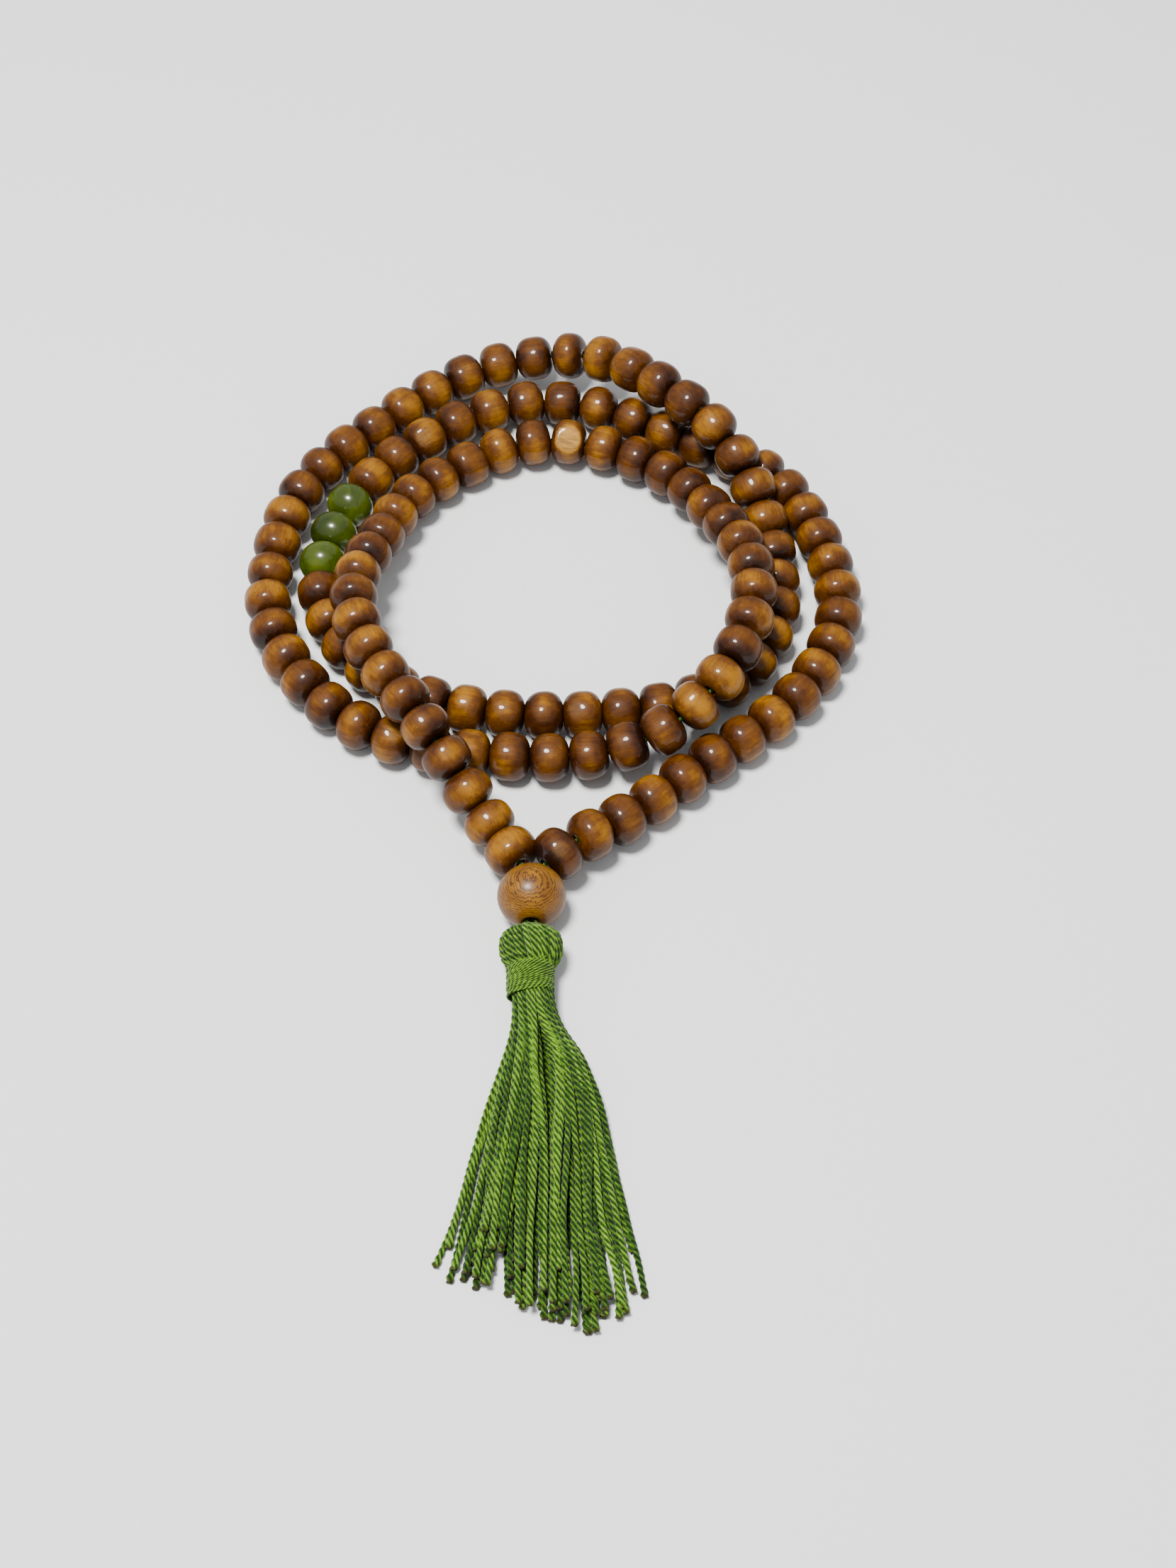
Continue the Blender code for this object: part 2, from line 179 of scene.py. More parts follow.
# The skirt's height above the surface: y, height.
SKIRT_HEIGHTS_MM = ((-42.6, 6.9), (-50.5, 6.2), (-62.0, 5.1), (-80.0, 4.1), (-95.6, 3.2))
# Where the longest cords end: share of the half width from the middle, y.
SKIRT_ENDS_MM = ((-1.0, -85.5), (-0.5, -88.0), (0.0, -91.5), (0.5, -94.0), (0.8, -91.5), (1.0, -89.0))
SKIRT_BUNDLES = (
    "skirt_outer_left", "skirt_mid_left", "skirt_centre", "skirt_mid_right", "skirt_outer_right",
)
LAST_BUNDLE = len(SKIRT_BUNDLES) - 1
BUNDLE_SHARE = 0.4
SKIRT_EDGE_HEIGHT = 0.35
# Layers of cords from the bottom up: cords, height share, how much shorter they may be cut.
SKIRT_LAYERS = ((18, 0.0, 2.0 * MM), (19, 0.36, 4.0 * MM), (19, 0.68, 6.0 * MM), (21, 1.0, 9.0 * MM))
# The layers below this one are joined into one piece for each bundle.
FIRST_FREE_LAYER = 2
# The neck inside the wrap: where the cords start, and for each layer how far out two neighbours lie.
NECK_Y = -40.2 * MM
NECK_SHIFT = 0.45 * MM
NECK_HALF_WIDTH = 2.85 * MM
NECK_HALF_HEIGHT = 2.35 * MM
NECK_RINGS = ((0.95, 0.7), (0.4, 0.55), (0.62, 0.45), (1.0, 0.8))
NECK_TURN_DEG = 82
NECK_PINCH = 0.75
# The length of a cut end over which the plies loosen.
OPEN_END = 1.5 * MM
# Points on a cord's line: the straight start, the first free point, the step, and the last one's room.
NECK_RUN = 1.4 * MM
FREE_START = 4.2 * MM
FREE_STEP = 3.4 * MM
TIP_ROOM = 3.0 * MM
# Distances below the neck, in millimetres, by which a cord has spread, drifted to its tip or come loose.
SPREAD_MM = 13
DRIFT_MM = 48
LOOSE_MM = 30
# The parting of the upper cords below the wrap: its place, its width as a share, how far it opens, and
# its middle and reach in millimetres below the neck.
PARTING = 0.05
PARTING_WIDTH = 0.3
PARTING_OPENS = 0.22
PARTING_MIDDLE_MM = 11
PARTING_REACH_MM = 10
# Cords that stray from the rest: layer and place in the layer, share of the half width at the tip, tip's y.
STRAYS = {
    (3, 0): (-1.30, -83.7 * MM), (2, 0): (-1.20, -81.0 * MM), (1, 0): (-1.12, -86.0 * MM),
    (2, 18): (1.16, -88.2 * MM), (1, 18): (1.12, -81.5 * MM),
}

# ---- Colours, as linear red, green and blue. A ramp's rows are its place and its colour. ----

# How much lighter or darker each of the four stained woods is.
WOOD_TONES = (-0.08, -0.03, 0.02, 0.07)
STAINED_WOOD = (
    (0.22, (0.009, 0.0019, 0.0001)), (0.42, (0.036, 0.0090, 0.0001)), (0.62, (0.080, 0.0250, 0.0002)),
    (0.86, (0.205, 0.082, 0.0008)),
)
BARE_WOOD = ((0.35, (0.15, 0.065, 0.006)), (0.6, (0.30, 0.145, 0.020)))
PORE_COLOUR = (0.010, 0.003, 0.0005)
GREEN_STONE = (
    (0.32, (0.011, 0.019, 0.0001)), (0.5, (0.030, 0.047, 0.0003)), (0.70, (0.058, 0.080, 0.0005)),
)
GURU_WOOD = ((0.35, (0.115, 0.042, 0.0005)), (0.7, (0.195, 0.080, 0.0015)))
GURU_LINE_COLOUR = (0.032, 0.009, 0.0003)
GURU_LINE_SPACING_MM = 0.36
# The cord and thread ramps run from painted shade in the grooves between plies, through the cord's colour, to
# painted highlight on the ply crests.
GREEN_CORD = (
    (0.55, (0.0016, 0.0065, 0.0002)), (0.79, (0.0115, 0.044, 0.0008)), (0.99, (0.135, 0.265, 0.011)),
)
GREEN_THREAD = (
    (0.55, (0.002, 0.006, 0.0005)), (0.79, (0.007, 0.022, 0.0015)), (0.99, (0.04, 0.10, 0.006)),
)
CUT_END_COLOUR = (0.034, 0.02, 0.005)
CORE_COLOUR = (0.013, 0.033, 0.003, 1.0)

# ---- Floor, camera and light ----

FLOOR_COLOUR = (0.62, 0.625, 0.63, 1.0)
FLOOR_HALF_SIDE = 2.0
CAMERA_PITCH = math.radians(54.0)
CAMERA_POSITION = Vector((6.0, -217.96, 300.0)) * MM
SENSOR_MM = 36.0
LENS_MM = 52.9
SKY_COLOUR = (0.96, 0.98, 1.0, 1.0)
SKY_STRENGTH = 0.80
KEY_PLACE = (-0.18, -0.09, 0.87)
KEY_SIZE = 0.25
KEY_POWER = 22.5
KEY_COLOUR = (1.0, 0.99, 0.97)


def spline_through(points, steps):
    """A natural cubic spline through the points, as an array of close points."""
    points = np.array(points, float)
    gaps = np.linalg.norm(np.diff(points, axis=0), axis=1)
    matrix = np.eye(len(points))
    target = np.zeros_like(points)
    for i in range(1, len(points) - 1):
        matrix[i, i - 1:i + 2] = gaps[i - 1], 2 * (gaps[i - 1] + gaps[i]), gaps[i]
        target[i] = 6 * ((points[i + 1] - points[i]) / gaps[i] - (points[i] - points[i - 1]) / gaps[i - 1])
    bend = np.linalg.solve(matrix, target)
    curve = []
    for i, gap in enumerate(gaps):
        for b in np.arange(steps) / steps:
            a = 1 - b
            straight = a * points[i] + b * points[i + 1]
            curve.append(straight + ((a**3 - a) * bend[i] + (b**3 - b) * bend[i + 1]) * gap**2 / 6)
    return np.array(curve + [points[-1]])


def distances_along(points):
    return np.concatenate([[0.0], np.cumsum(np.linalg.norm(np.diff(points, axis=0), axis=1))])


def points_at(points, places):
    """Points at the given distances along a line of close points."""
    distances = distances_along(points)
    return np.stack([np.interp(places, distances, points[:, k]) for k in range(3)], axis=1)


def bead_joints():
    """The places on the thread between neighbouring beads, where it bends."""
    route = spline_through(THREAD_ROUTE_MM, SPLINE_STEPS) * MM
    places = [FIRST_BEAD]
    for count, step in BEAD_STEPS:
        places += [places[-1] + step * (i + 1) for i in range(count)]
    joints = [places[0] - BEAD_STEPS[0][1] / 2]
    joints += [(a + b) / 2 for a, b in zip(places, places[1:])]
    joints.append(places[-1] + BEAD_STEPS[-1][1] / 2)
    return route, points_at(route, joints)


# ---- Meshes ----

def add_object(name, mesh, material, body):
    obj = bpy.data.objects.new(name, mesh)
    bpy.context.scene.collection.objects.link(obj)
    mesh.materials.append(material)
    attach(obj, body)
    return obj


def set_attribute(mesh, name, kind, values):
    attribute = mesh.attributes.new(name, kind, "POINT")
    field = "vector" if kind == "FLOAT_VECTOR" else "value"
    attribute.data.foreach_set(field, np.asarray(values, np.float32).ravel())


def grid_faces(rows, columns, closed_rows):
    """Quads of a grid whose columns close on themselves, and whose rows may."""
    faces = []
    for j in range(rows if closed_rows else rows - 1):
        following = (j + 1) % rows
        for i in range(columns):
            k = (i + 1) % columns
            faces.append((j * columns + i, j * columns + k, following * columns + k, following * columns + i))
    return faces


def bead_profile(radius, half, power, end_radius, bore_radius):
    """The closed half section (radius, height) of a bead: down its outside, and up its bore."""
    full_half = half / (1 - (end_radius / radius) ** power) ** (1 / power)
    start = math.acos((half / full_half) ** (power / 2))
    outside = []
    for angle in np.linspace(start, math.pi - start, BEAD_RINGS):
        height = full_half * math.copysign(abs(math.cos(angle)) ** (2 / power), math.cos(angle))
        outside.append((radius * math.sin(angle) ** (2 / power), height))
    top = [(bore_radius, half - RIM), (bore_radius + RIM, half), (end_radius - RIM, half)]
    bottom = [(r, -z) for r, z in reversed(top)]
    return top + outside + bottom


def turned_bead(name, profile, sides, wobble, seed):
    """A bead turned about Z from its profile, slightly out of true, with its own patch of wood."""
    turns = np.arange(sides) * math.tau / sides
    ring = np.stack([np.cos(turns), np.sin(turns)], axis=1)
    points = []
    for radius, height in profile:
        points += [(radius * x, radius * y, height) for x, y in ring]
    points = np.array(points)
    offset = Vector((seed * 3.17, seed * 1.71, seed * 0.93))
    for index, point in enumerate(points):
        if math.hypot(point[0], point[1]) > BORE_RADIUS * 2:
            lump = noise.noise(Vector(point) / MM * 0.22 + offset)
            points[index][:2] *= 1 + wobble * lump
    mesh = bpy.data.meshes.new(name)
    mesh.from_pydata(points.tolist(), [], [face[::-1] for face in grid_faces(len(profile), sides, True)])
    mesh.shade_smooth()
    grain = points / MM + np.array(offset) * 7
    set_attribute(mesh, "grain", "FLOAT_VECTOR", grain)
    # The across value drives the wood's painted sheen, lighter round the middle and darker towards the ends.
    set_attribute(mesh, "across", "FLOAT", np.abs(points[:, 2]) / (max(z for _, z in profile)))
    return mesh


def wear_flat(mesh, facing, radius, flat_radius, paleness):
    """Presses a flat into a bead's surface where it faces the given way."""
    depth = math.sqrt(radius**2 - flat_radius**2)
    paleness_at = []
    for vertex in mesh.vertices:
        over = vertex.co.dot(facing) - depth
        near = min(1.0, max(0.0, 0.5 + over / FLAT_EDGE))
        paleness_at.append(paleness * near)
        if over > 0:
            vertex.co -= facing * over * 0.96
    set_attribute(mesh, "worn", "FLOAT", paleness_at)


def twisted_cord(path, radius, pitch, sides=12, step=0.24 * MM, plies=CORD_PLIES, open_end=0.0, turn=0.0,
                 pinch=1.0):
    """Vertices, faces and shading values of a cord of twisted plies along a line of close points.

    Over the last open_end of its length the plies loosen and spread. Over its first SWELL_LENGTH it
    swells from pinch times its thickness to the whole.
    """
    length = distances_along(path)[-1]
    count = max(8, int(length / step))
    places = np.linspace(0, length, count)
    line = points_at(path, places)
    forward = np.gradient(line, axis=0)
    forward /= np.linalg.norm(forward, axis=1)[:, None]
    side = np.cross(forward[0], (0.0, 0.0, 1.0))
    if np.linalg.norm(side) < 0.1:
        side = np.cross(forward[0], (1.0, 0.0, 0.0))
    points, ply_painted_shading, along = [], [], []
    angles = np.arange(sides) * math.tau / sides
    for index in range(count):
        side = side - forward[index] * side.dot(forward[index])
        side /= np.linalg.norm(side)
        up = np.cross(side, forward[index])
        loose = max(0.0, 1 - (length - places[index]) / open_end) if open_end else 0.0
        spin = turn + math.tau * places[index] / pitch
        local = (angles - spin) * plies / 2
        reach = PLY_OFFSET * (1 + 0.5 * loose)
        share = np.abs(np.cos(local))
        shape = reach * share + np.sqrt(np.maximum(GROOVE_FLOOR, 1 - (reach * np.sin(local)) ** 2))
        swell = pinch + (1 - pinch) * min(1.0, places[index] / SWELL_LENGTH)
        size = radius / (1 + PLY_OFFSET) * shape * swell * (1 + 0.3 * loose - 0.45 * loose**6)
        ring = line[index] + size[:, None] * (np.cos(angles)[:, None] * side + np.sin(angles)[:, None] * up)
        points.append(ring)
        # The ply values paint highlight on each ply's crest and shade in the grooves between plies.
        ply_painted_shading.append(share)
        along.append(np.stack([local, np.full(sides, places[index] / MM), np.full(sides, loose)], axis=1))
    points = np.concatenate(points)
    ends = np.stack([line[0], line[-1]])
    faces = grid_faces(count, sides, False)
    first, last = len(points), len(points) + 1
    for i in range(sides):
        k = (i + 1) % sides
        faces.append((first, k, i))
        faces.append((last, (count - 1) * sides + i, (count - 1) * sides + k))
    points = np.concatenate([points, ends])
    ply_painted_shading = np.concatenate(ply_painted_shading + [np.array([0.3, 0.3])])
    along = np.concatenate(along + [np.array([[0, 0, 0], [0, length / MM, 1.0 if open_end else 0.0]])])
    return points, faces, ply_painted_shading, along


def cord_mesh(name, cords, tones):
    """One mesh of several twisted cords, each with its own shade."""
    points, faces, ply_painted_shading, along, tone = [], [], [], [], []
    start = 0
    for (cord_points, cord_faces, cord_ply_painted_shading, cord_along), shade in zip(cords, tones):
        points.append(cord_points)
        faces += [tuple(start + i for i in face) for face in cord_faces]
        ply_painted_shading.append(cord_ply_painted_shading)
        along.append(cord_along)
        tone.append(np.full(len(cord_points), shade))
        start += len(cord_points)
    mesh = bpy.data.meshes.new(name)
    mesh.from_pydata(np.concatenate(points).tolist(), [], faces)
    mesh.shade_smooth()
    set_attribute(mesh, "ply_painted_shading", "FLOAT", np.concatenate(ply_painted_shading))
    set_attribute(mesh, "along", "FLOAT_VECTOR", np.concatenate(along))
    set_attribute(mesh, "tone", "FLOAT", np.concatenate(tone))
    return mesh


# ---- Materials ----

class Shader:
    """A material's node tree, with short calls to add and join nodes."""

    def __init__(self, name):
        self.material = bpy.data.materials.new(name)
        self.material.use_nodes = True
        self.tree = self.material.node_tree
        self.surface = self.tree.nodes["Principled BSDF"]

    def add(self, kind, inputs=(), **settings):
        node = self.tree.nodes.new(kind)
        for key, value in settings.items():
            setattr(node, key, value)
        for key, value in dict(inputs).items():
            self.put(node.inputs[key], value)
        return node

    def put(self, socket, value):
        if isinstance(value, bpy.types.NodeSocket):
            self.tree.links.new(value, socket)
        else:
            socket.default_value = value

    def attribute(self, name, output):
        return self.add("ShaderNodeAttribute", attribute_name=name).outputs[output]

    def math(self, operation, *values, clamp=False):
        node = self.add("ShaderNodeMath", operation=operation, use_clamp=clamp)
        for socket, value in zip(node.inputs, values):
            self.put(socket, value)
        return node.outputs[0]

    def vector(self, operation, a, b):
        node = self.add("ShaderNodeVectorMath", operation=operation)
        self.put(node.inputs[0], a)
        self.put(node.inputs[1], b)
        return node.outputs[0]

    def noise(self, vector, scale, detail=2.0, roughness=0.5, distortion=0.0):
        inputs = {"Vector": vector, "Scale": scale, "Detail": detail, "Roughness": roughness,
                  "Distortion": distortion}
        return self.add("ShaderNodeTexNoise", inputs).outputs["Fac"]

    def range(self, value, low, high, out_low=0.0, out_high=1.0):
        inputs = {"Value": value, "From Min": low, "From Max": high, "To Min": out_low, "To Max": out_high}
        return self.add("ShaderNodeMapRange", inputs).outputs["Result"]

    def ramp(self, value, stops):
        node = self.add("ShaderNodeValToRGB", {"Fac": value})
        elements = node.color_ramp.elements
        while len(elements) < len(stops):
            elements.new(0.5)
        for element, (place, colour) in zip(elements, stops):
            element.position = place
            element.color = (*colour, 1.0)
        return node.outputs["Color"]

    def mix(self, factor, a, b, blend="MIX"):
        node = self.add("ShaderNodeMix", data_type="RGBA", blend_type=blend)
        self.put(node.inputs["Factor"], factor)
        self.put(node.inputs["A"], a if isinstance(a, bpy.types.NodeSocket) else (*a, 1.0))
        self.put(node.inputs["B"], b if isinstance(b, bpy.types.NodeSocket) else (*b, 1.0))
        return node.outputs["Result"]

    def bump(self, height, distance, strength=1.0):
        inputs = {"Height": height, "Distance": distance, "Strength": strength}
        self.put(self.surface.inputs["Normal"], self.add("ShaderNodeBump", inputs).outputs["Normal"])

    def set(self, **inputs):
        for key, value in inputs.items():
            self.put(self.surface.inputs[key.replace("_", " ")], value)


def lacquered_wood(name, tone):
    """Stained turned hardwood: fine streaks along the bore, dark pores, a painted sheen that leaves it
    lighter round the middle and darker towards the ends, clear lacquer.
    """
    shader = Shader(name)
    grain = shader.attribute("grain", "Vector")
    across = shader.attribute("across", "Fac")
    worn = shader.attribute("worn", "Fac")
    clouds = shader.noise(grain, 0.16, 3.0, 0.6)
    streaks = shader.noise(shader.vector("MULTIPLY", grain, (1.5, 1.5, 0.22)), 1.0, 4.0, 0.62, 0.6)
    pores = shader.noise(shader.vector("MULTIPLY", grain, (5.5, 5.5, 0.9)), 1.0, 2.0, 0.7)
    # Painted sheen: the wood is lighter round the bead's middle and darker towards both ends.
    painted_sheen_band = shader.range(across, 0.15, 0.95)
    shade = shader.math("ADD", shader.math("MULTIPLY", clouds, 0.95), shader.math("MULTIPLY", streaks, 0.38))
    shade = shader.math("SUBTRACT", shade, shader.math("MULTIPLY", painted_sheen_band, 0.28))
    shade = shader.math("ADD", shade, tone)
    wood = shader.ramp(shade, STAINED_WOOD)
    pore_mask = shader.range(pores, 0.62, 0.74, 0.0, 0.7)
    wood = shader.mix(pore_mask, wood, PORE_COLOUR)
    wood = shader.mix(worn, wood, shader.ramp(streaks, BARE_WOOD))
    shader.set(Base_Color=wood, Roughness=0.5, Specular_IOR_Level=0.1)
    shader.set(Coat_Weight=0.23, Coat_Roughness=0.08, Coat_IOR=1.6)
    shader.bump(shader.math("ADD", streaks, shader.math("MULTIPLY", pores, 0.4)), 0.04 * MM, 0.4)
    return shader.material


def green_stone():
    """Polished olive-green stone, cloudy and slightly translucent."""
    shader = Shader("green_stone")
    grain = shader.attribute("grain", "Vector")
    clouds = shader.noise(grain, 0.16, 3.0, 0.55, 0.6)
    shader.set(Base_Color=shader.ramp(clouds, GREEN_STONE), Roughness=0.3, Specular_IOR_Level=0.2)
    shader.set(Coat_Weight=0.35, Coat_Roughness=0.05, Coat_IOR=1.6)
    shader.set(Subsurface_Weight=0.3, Subsurface_Radius=(1.0, 1.0, 0.3), Subsurface_Scale=1.5 * MM)
    return shader.material


def guru_wood():
    """Light satin wood whose growth layers show as fine wavy dark lines."""
    shader = Shader("guru_wood")
    place = shader.add("ShaderNodeTexCoord").outputs["Object"]
    place = shader.vector("MULTIPLY", place, (1 / MM, 1 / MM, 1 / MM))
    ripple = shader.noise(shader.vector("MULTIPLY", place, (1.3, 1.3, 0.4)), 1.0, 2.0, 0.6)
    jag = shader.noise(shader.vector("MULTIPLY", place, (3.5, 3.5, 0.8)), 1.0, 1.0, 0.5)
    swell = shader.noise(place, 0.22, 1.0)
    layers = shader.add("ShaderNodeSeparateXYZ", {"Vector": place}).outputs["Y"]
    layers = shader.math("ADD", layers, shader.math("MULTIPLY", ripple, 0.7))
    layers = shader.math("ADD", layers, shader.math("MULTIPLY", jag, 0.30))
    layers = shader.math("ADD", layers, shader.math("MULTIPLY", swell, 1.2))
    wave = shader.math("SINE", shader.math("MULTIPLY", layers, math.tau / GURU_LINE_SPACING_MM))
    line = shader.range(wave, 0.25, 0.85)
    breaks = shader.range(shader.noise(place, 2.4, 2.0), 0.30, 0.50, 0.35, 0.9)
    tint = shader.noise(place, 0.35, 2.0)
    light = shader.ramp(tint, GURU_WOOD)
    colour = shader.mix(shader.math("MULTIPLY", line, breaks), light, GURU_LINE_COLOUR)
    shader.set(Base_Color=colour, Roughness=0.5, Specular_IOR_Level=0.2, Coat_Weight=0.2, Coat_Roughness=0.25)
    shader.bump(wave, 0.02 * MM, 0.4)
    return shader.material


def cord_material(name, colours, fuzz):
    """Twisted cord: fine fibres along each ply, painted shade in the grooves between plies and painted
    highlight on their crests, brown cut ends.
    """
    shader = Shader(name)
    ply_painted_shading = shader.attribute("ply_painted_shading", "Fac")
    tone = shader.attribute("tone", "Fac")
    along = shader.attribute("along", "Vector")
    parts = shader.add("ShaderNodeSeparateXYZ", {"Vector": along})
    fibres = shader.noise(shader.vector("MULTIPLY", along, (7.0, 1.6, 0.0)), 1.0, 3.0, 0.7)
    clouds = shader.noise(shader.vector("MULTIPLY", along, (0.0, 0.6, 0.0)), 1.0, 2.0, 0.6)
    # Painted highlight on the ply crests and painted shade in the grooves, with fibres and clouds.
    shade = shader.math("ADD", shader.math("MULTIPLY", ply_painted_shading, 0.42), shader.math("MULTIPLY", fibres, 0.75))
    shade = shader.math("ADD", shade, shader.math("MULTIPLY", clouds, 0.25))
    # The tone holds random tone, and painted shade on the lower skirt layers.
    shade = shader.math("ADD", shade, tone)
    frayed = shader.math("MULTIPLY", shader.range(parts.outputs["Z"], 0.6, 1.0), 0.7)
    colour = shader.mix(frayed, shader.ramp(shade, colours), CUT_END_COLOUR)
    shader.set(Base_Color=colour, Roughness=0.8, Specular_IOR_Level=0.12)
    shader.set(Sheen_Weight=0.10, Sheen_Roughness=0.4)
    shader.bump(shader.math("ADD", fibres, shader.math("MULTIPLY", ply_painted_shading, 0.5)), fuzz, 0.9)
    return shader.material


# ---- Beads on the thread ----

def body_of_bead(number):
    """The body that a bead rides on, the CAD node that holds it, and whether it comes first in that node."""
    for first, last in JOINED_BEADS:
        if first <= number <= last:
            return "string", f"beads_{first:03d}_to_{last:03d}", number == first
    node = f"green_bead_{GREEN_BEADS.index(number) + 1}" if number in GREEN_BEADS else f"bead_{number:03d}"
    return node, node, True


def bead_half_length(joints, number, end_radius):
    """Half a bead's length: it nearly meets its neighbours, which lean against the rims of its ends."""
    start, end = joints[number - 1], joints[number]
    axis = (end - start) / np.linalg.norm(end - start)
    room = np.linalg.norm(end - start) / 2
    lean = 0.0
    for a, b in ((number - 2, number - 1), (number, number + 1)):
        if 0 <= a and b < len(joints):
            other = (joints[b] - joints[a]) / np.linalg.norm(joints[b] - joints[a])
            lean = max(lean, math.acos(min(1.0, float(axis @ other))) / 2)
    return room - end_radius * math.tan(lean) + BEAD_PRESS


def build_beads(joints, woods, stone):
    shapes = random.Random(11)
    flats = {number: rest for number, *rest in WORN_FLATS}
    for number in range(1, len(joints)):
        start, end = Vector(joints[number - 1]), Vector(joints[number])
        centre, turn = (start + end) / 2, (end - start).to_track_quat("Z", "Y")
        body, node, leads = body_of_bead(number)
        if number in GREEN_BEADS:
            radius, wobble = GREEN_BEAD_RADIUS, GREEN_BEAD_WOBBLE
            profile = bead_profile(
                radius, GREEN_BEAD_LENGTH / 2, GREEN_BEAD_POWER, GREEN_BEAD_END_RADIUS, BORE_RADIUS)
            material, name = stone, node + "_stone"
        else:
            end_radius = BEAD_END_RADIUS * shapes.uniform(*END_SHARES)
            half = bead_half_length(joints, number, end_radius)
            if number in (SLACK_AFTER, SLACK_AFTER + 1):
                half = SLACK_BEAD_HALF
            radius = BEAD_RADIUS * LARGER_BEADS.get(number, shapes.uniform(*RADIUS_SHARES))
            profile = bead_profile(radius, half, shapes.uniform(*BEAD_POWERS), end_radius, BORE_RADIUS)
            material, name = shapes.choice(woods), f"wood_bead_{number:03d}"
            wobble = BEAD_WOBBLE
        mesh = turned_bead(name, profile, BEAD_SIDES, wobble, number)
        if number in flats:
            facing, flat_radius, paleness = flats[number]
            wear_flat(mesh, turn.inverted() @ Vector(facing).normalized(), radius, flat_radius, paleness)
        bead = bpy.data.objects.new(name, mesh)
        bpy.context.scene.collection.objects.link(bead)
        mesh.materials.append(material)
        bead.matrix_world = Matrix.Translation(centre) @ turn.to_matrix().to_4x4()
        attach(bead, body)
        if leads:
            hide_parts(node)


def build_thread(route, joints, material):
    """The stringing thread along its whole route, straight through each bead."""
    length = distances_along(route)[-1]
    ends = points_at(route, [0.0, THREAD_MOUTH, length - THREAD_MOUTH, length])
    corners = np.concatenate([ends[:2], joints, ends[2:]])
    cord = twisted_cord(corners, THREAD_RADIUS, THREAD_PITCH, sides=9, step=0.25 * MM)
    thread = add_object("stringing_thread", cord_mesh("stringing_thread", [cord], [0.1]), material, "string")
    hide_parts("thread")


def build_guru(material):
    profile = bead_profile(GURU_RADIUS, GURU_LENGTH / 2, GURU_POWER, GURU_END_RADIUS, GURU_BORE_RADIUS)
    mesh = turned_bead("guru_bead_turned", profile, GURU_SIDES, GURU_WOBBLE, GURU_SEED)
    guru = bpy.data.objects.new("guru_bead_turned", mesh)
    bpy.context.scene.collection.objects.link(guru)
    mesh.materials.append(material)
    guru.matrix_world = Matrix.Translation(GURU_CENTRE) @ Matrix.Rotation(math.radians(-90), 4, "X")
    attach(guru, "guru_bead")
    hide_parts("guru_bead")


# ---- Tassel ----

def tassel_point(angle, radius, forward):
    """A point in the tassel's own frame: round its axis, and forward along it towards the guru bead."""
    across = Vector((1.0, 0.0, 0.0)) * math.cos(angle) * radius
    up = Vector((0.0, -math.sin(TASSEL_TILT), math.cos(TASSEL_TILT)))
    axis = Vector((0.0, math.cos(TASSEL_TILT), math.sin(TASSEL_TILT)))
    return TASSEL_PIVOT + across + up * math.sin(angle) * radius * HEAD_HEIGHT_SHARE + axis * forward


def build_head(material, core_material):
    """The cords folded over the knot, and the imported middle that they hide."""
    wander = random.Random(5)
    cords, tones = [], []
    for index in range(HEAD_CORDS):
        angle = index / HEAD_CORDS * math.tau + wander.uniform(-0.03, 0.03)
        swell = wander.uniform(0.97, 1.03)
        line = []
        for step, (radius, forward) in enumerate(HEAD_CORD_LINE_MM):
            lean = HEAD_LEAN * math.sin(angle) * (step / (len(HEAD_CORD_LINE_MM) - 1) - 0.4)
            line.append(tassel_point(angle + lean, radius * swell * MM, forward * MM))
        path = spline_through([tuple(p) for p in line], 10)
        cords.append(twisted_cord(path, CORD_RADIUS, CORD_PITCH, turn=wander.uniform(0, math.tau)))
        tones.append(wander.uniform(-0.06, 0.06))
    head = add_object("head_cords", cord_mesh("head_cords", cords, tones), material, "tassel")
    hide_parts("tassel_head")
    line = [(radius - CORE_INSET_MM, forward) for radius, forward in HEAD_CORD_LINE_MM[CORE_FIRST_POINT:]]
    profile = [*CORE_TOP_MM, *line, (0.0, line[-1][1])]
    turns = [side * math.tau / CORE_SIDES for side in range(CORE_SIDES)]
    points = [tuple(tassel_point(turn, r * MM, forward * MM)) for r, forward in profile for turn in turns]
    mesh = bpy.data.meshes.new("head_core")
    mesh.from_pydata(points, [], grid_faces(len(profile), CORE_SIDES, False))
    mesh.shade_smooth()
    core = add_object("head_core", mesh, core_material, "tassel")


def build_wrap(material):
    """The thread wound round the tassel's neck, turn beside turn, a little unevenly."""
    wander = random.Random(9)
    line = []
    for index in range(WRAP_TURNS * WRAP_STEPS + 1):
        share = index / (WRAP_TURNS * WRAP_STEPS)
        angle = math.tau * index / WRAP_STEPS
        forward = WRAP_START + (WRAP_END - WRAP_START) * share + WRAP_TILT * math.cos(angle)
        forward += WRAP_WANDER * math.sin(3.7 * angle / 2 + share * 9)
        jitter = wander.uniform(-WRAP_JITTER_MM, WRAP_JITTER_MM) * MM
        radius = WRAP_RADIUS + WRAP_BULGE * math.sin(2.3 * angle) + jitter
        line.append(tassel_point(angle, radius * (1 - WRAP_TAPER * share), forward))
    path = spline_through([tuple(p) for p in line], 4)
    cord = twisted_cord(path, WRAP_THREAD_RADIUS, WRAP_THREAD_PITCH, sides=8, step=0.16 * MM, plies=2)
    wrap = add_object("wrap_thread", cord_mesh("wrap_thread", [cord], [0.05]), material, "tassel")
    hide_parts("tassel_wrap")


def read_table(table, y):
    """The values at one y in a table of (y, value, ...) rows in millimetres, in metres."""
    rows = np.array(table[::-1]) * MM
    return [float(np.interp(y, rows[:, 0], rows[:, k])) for k in range(1, rows.shape[1])]


